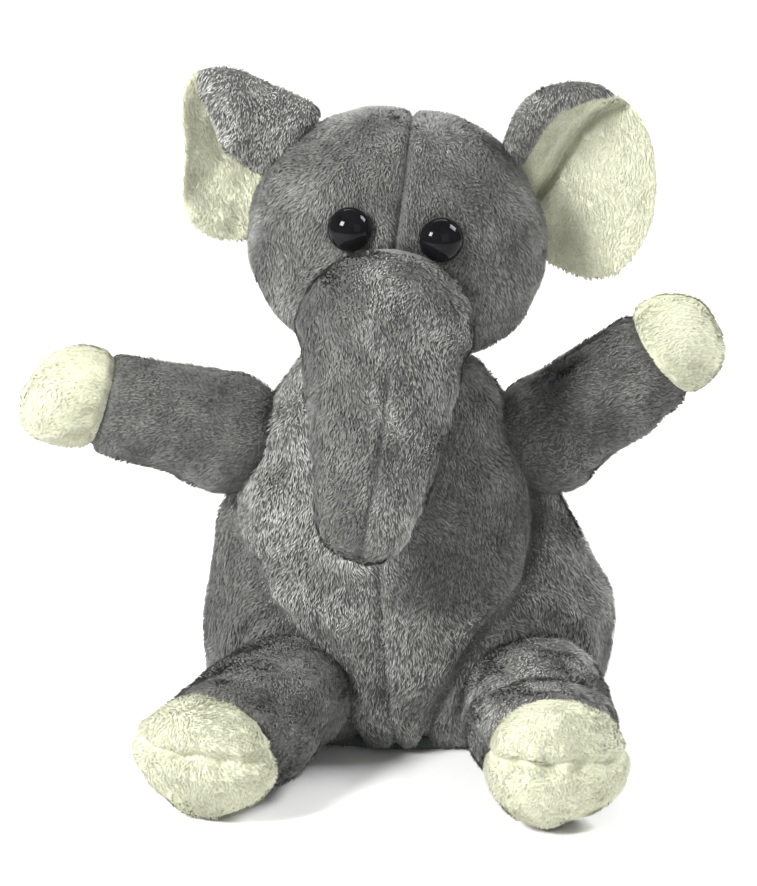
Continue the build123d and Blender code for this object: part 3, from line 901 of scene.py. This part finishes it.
# ---------------------------------------------------------------- arms
def make_arm(side, sign, rise_angle, length, cuff_at, droop, arm_painted_shade, hand_painted_shade):
    """An arm, raised by an angle, and its hand, which is sewn on at the cuff and sags by the droop."""
    arm = side + "_arm"
    root = JOINTS[arm + "_raise"]
    lift, forward = math.radians(rise_angle), math.radians(8)
    level = math.cos(lift)
    way = np.array((sign * level * math.cos(forward), -level * math.sin(forward), math.sin(lift)))
    along, across, rise = frame_along(way)
    body = [(0, 19.0), (10, 18.6), (22, 18.0), (34, 17.2), (40, 16.2), (44, 16.3), (50, 16.5)]
    places, radii = stub_rows(20.2, body, length - 18, length, 2.5)
    turns = 170
    grid = lathe(root, along, across, rise, places, radii, turns, 0.96, 1.03)
    bend = np.clip((places - 38) / 27, 0, 1) ** 2
    grid = grid - bend[:, None, None] * rise * droop
    turn = full_turn(turns)
    s = places[:, None]
    seams = sum(hump(off_line(turn, a, radii), 1.5) for a in (math.pi / 2, -math.pi / 2)) * step(s, 5, 12)
    cuff = hump(s - cuff_at, 1.5) * np.ones((1, turns))
    wrinkle = hump(s - 14 + 3 * np.cos(turn * 2 + sign)[None], 3) * step(np.sin(turn), -0.3, -0.9)[None]
    bumps = 0.85 * noise(grid, 14, 141 + sign) + 0.3 * noise(grid, 6, 142 + sign)
    swell = step(s, cuff_at + 1, cuff_at + 9)
    pucker = np.cos(turn * 11)[None] * hump(s - cuff_at - 3, 3) * 0.35
    dips = 1.2 * seams + 1.6 * cuff + 0.8 * wrinkle
    grid = push(grid, bumps * step(s, -8, 8) - SKIN_DEPTH - dips + 0.7 * swell + pucker)

    mid_s = (places[:-1] + places[1:])[:, None] / 2 * np.ones((1, turns))
    facing = np.broadcast_to(np.cos(turn + math.pi / turns) * across[1] < 0, mid_s.shape)
    hand = mid_s > cuff_at
    sleeve = ~hand & (mid_s > -15)
    panels(grid, arm, GREY, {arm + "_front": sleeve & facing, arm + "_back": sleeve & ~facing})
    panels(grid, arm, CREAM, {side + "_hand_front": hand & facing, side + "_hand_back": hand & ~facing})
    # Along the seams and the cuff the pile is cut short and its tone painted darker, as shade in the seams.
    shorten_and_shade = 1 - 0.5 * np.clip(seams + cuff, 0, 1)
    arm_flow = along * 0.9 + np.array((0, 0, -0.4))
    hand_flow = along * 0.9 + np.array((0, 0, -0.3))
    # The arm's and hand's piles carry painted shade, set per side.
    pile(arm + "_pile", arm, grid, sleeve, GREY, 2.1, 2.7, 151 + sign, arm_flow, shorten_and_shade, arm_painted_shade)
    pile(side + "_hand_pile", arm, grid, hand, CREAM, 2.3, 2.3, 161 + sign, hand_flow, shorten_and_shade, hand_painted_shade)
    fill = shell(arm + "_fill", grid, mid_s > -9, 3.0, STUFFING, 2.2)
    dress(fill, arm, [arm + "_stuffing"])

    outline = pocket_outline(-13, 34, 11, 9.5, 1.0)
    pocket = turned(arm + "_pocket_cloth", root, along, outline, LINING_CLOTH)
    dress(pocket, arm, [arm + "_finger_pocket"])
    rim = arc(18.6, 0.55, 0.95, 6) + arc(17.2, 0.95, 0.55, 6)
    facing_ring = turned(side + "_shoulder_facing", root, (-sign, 0, 0), rim, GREY.cloth)
    dress(facing_ring, side + "_shoulder", [side + "_shoulder_ring"])


# ---------------------------------------------------------------- legs
def make_leg(side, sign, foot, foot_height, foot_width, leg_painted_light, foot_painted_light):
    """A leg and its foot, whose height and width are shares of a round one."""
    leg = side + "_leg"
    root = JOINTS[leg + "_swing"]
    foot = np.array(foot, float)
    along, across, rise = frame_along(foot - root)
    length = np.linalg.norm(foot - root) + 21.5
    sole = length - 20.5
    body = [(0, 23.0), (12, 23.6), (24, 23.2), (34, 22.2), (sole, 21.0), (sole + 5, 21.6), (length, 22)]
    places, radii = stub_rows(23.0, body, length - 15, length, 2.35)
    # The thigh is squashed flat under the body and rounds out again towards the foot.
    tall = curve(places, [(-24, 0.86), (0, 0.82), (18, 0.82), (32, 0.88), (sole + 2, foot_height)])
    wide = curve(places, [(-24, 1.02), (30, 1.02), (sole + 4, foot_width)])
    turns = 200
    grid = lathe(root, along, across, rise, places, radii, turns, wide, tall)
    grid[..., 2] -= ((1 - tall) * radii * 0.9)[:, None]
    turn = full_turn(turns)
    s = places[:, None]
    high = (grid - root) @ rise - 0.06 * s
    near_tip = step(s, length - 17, length - 6)
    pinch = hump(high - 1.0 * np.cos(turn * 3)[None], 2.0) * near_tip
    creases = np.cos(((grid - root) @ across) * 0.62 + 1.2 * sign) * hump(high, 8) * near_tip * 0.55
    seams = hump(high, 1.5) * step(s, 4, 12) * (1 - near_tip)
    cuff = hump(s - sole, 1.6)
    wrinkle = hump(s - 20 - 4 * np.sin(turn + sign)[None], 3.5) * step(np.sin(turn), 0.2, 0.8)[None]
    bumps = 0.9 * noise(grid, 15, 171 + sign) + 0.35 * noise(grid, 6, 172 + sign)
    dips = 2.4 * pinch + 0.8 * seams + 1.5 * cuff + 0.6 * wrinkle
    grid = push(grid, bumps * step(s, -10, 6) - SKIN_DEPTH + creases - dips)
    # Where it rests on the floor it lies flat.
    grid[..., 2] = np.where(grid[..., 2] < 2.5, 1.6 + 0.35 * (grid[..., 2] - 1.6), grid[..., 2])
    grid[..., 2] = np.maximum(grid[..., 2], 0.8)

    mid_s = (places[:-1] + places[1:])[:, None] / 2 * np.ones((1, turns))
    upper = np.broadcast_to(np.sin(turn + math.pi / turns) > 0, mid_s.shape)
    end = mid_s > sole
    panels(grid, leg, GREY, {leg + "_top": ~end & upper, leg + "_bottom": ~end & ~upper})
    panels(grid, leg, CREAM, {side + "_foot_top": end & upper, side + "_foot_sole": end & ~upper})
    # Along the seams, the cuff and the pinched creases the pile is cut short and its tone painted darker, as
    # shade in the seams and creases.
    shorten_and_shade = 1 - 0.5 * np.clip(seams + cuff + pinch, 0, 1)
    leg_flow = along * 0.7 + np.array((0, 0, -0.6))

    def foot_flow(p):
        return unit(p - foot) * 0.6 + np.array((0, 0, -0.5))

    seen = ~end & (mid_s > -15)
    # The leg's and foot's piles carry painted light and shade, set per side.
    pile(leg + "_pile", leg, grid, seen, GREY, 2.0, 2.8, 181 + sign, leg_flow, shorten_and_shade, leg_painted_light)
    pile(side + "_foot_pile", leg, grid, end, CREAM, 2.3, 2.3, 191 + sign, foot_flow, shorten_and_shade, foot_painted_light)
    dress(solid(leg + "_fill", grid, STUFFING, FILL_DEPTH), leg, [leg + "_stuffing"])


make_body()
make_hem()
make_sleeve()
make_neck()
make_head()
make_trunk()
make_ears()
# The arms and hands are painted darker as shade, the right ones most.
make_arm("right", -1, rise_angle=17, length=65.5, cuff_at=41, droop=4.5, arm_painted_shade=0.52, hand_painted_shade=0.78)
make_arm("left", 1, rise_angle=38, length=63.5, cuff_at=43, droop=1.5, arm_painted_shade=0.66, hand_painted_shade=0.9)
# The right leg and foot are painted darker as shaded and the left leg painted lighter as lit.
make_leg("right", -1, (-49.5, -49, 21.5), foot_height=0.89, foot_width=1.09, leg_painted_light=0.7, foot_painted_light=0.75)
make_leg("left", 1, (51, -57, 22), foot_height=0.95, foot_width=1.04, leg_painted_light=1.2, foot_painted_light=1.0)


# ---------------------------------------------------------------- floor, light and camera
# From here on, lengths are in metres.
def make_floor():
    mesh = bpy.data.meshes.new("floor")
    mesh.from_pydata([(-4, -4, 0), (4, -4, 0), (4, 4, 0), (-4, 4, 0)], [], [(0, 1, 2, 3)])
    m = Nodes("floor_paper")
    colour = m.ramp(m.noise(3), [(0.3, (0.90, 0.90, 0.90)), (0.7, (0.93, 0.93, 0.93))])
    mesh.materials.append(m.finish(colour, Roughness=0.8))
    link_object("floor", mesh)


def add_light(name, place, size, power, colour=(1, 1, 1), target=(0, 0.02, 0.11)):
    """A square area light, in metres and watts."""
    data = bpy.data.lights.new(name, "AREA")
    data.shape = "SQUARE"
    data.size = size
    data.energy = power
    data.color = colour
    obj = link_object(name, data)
    obj.location = place
    obj.rotation_euler = (Vector(target) - Vector(place)).to_track_quat("-Z", "Y").to_euler()


make_floor()
add_light("key", (-0.98, -0.80, 0.95), size=0.42, power=40, colour=(1.0, 1.0, 0.985))
add_light("fill", (0.6, -1.2, 0.6), size=0.8, power=1.8)
add_light("rim", (0.95, 0.15, 1.0), size=0.5, power=18)
add_light("floor_wash", (0, 2.2, 2.0), size=1.6, power=45, target=(0, 1.9, 0))
world = bpy.data.worlds.new("studio")
world.use_nodes = True
background = world.node_tree.nodes["Background"]
background.inputs["Color"].default_value = (1, 1, 1, 1)
background.inputs["Strength"].default_value = 0.27
bpy.context.scene.world = world
bpy.context.scene.view_settings.view_transform = "Standard"

# The camera stands a metre from the point that it looks at, 16.5 degrees above the level.
LOOK_AT = (-0.0008, 0.031, 0.091)
ELEVATION = math.radians(16.5)
camera_data = bpy.data.cameras.new("camera")
camera_data.lens = 127.0
camera_data.sensor_width = 36.0
camera_data.clip_start = 0.05
camera = link_object("camera", camera_data)
camera.location = (LOOK_AT[0], LOOK_AT[1] - math.cos(ELEVATION), LOOK_AT[2] + math.sin(ELEVATION))
camera.rotation_euler = (math.pi / 2 - ELEVATION, 0, 0)
bpy.context.scene.camera = camera
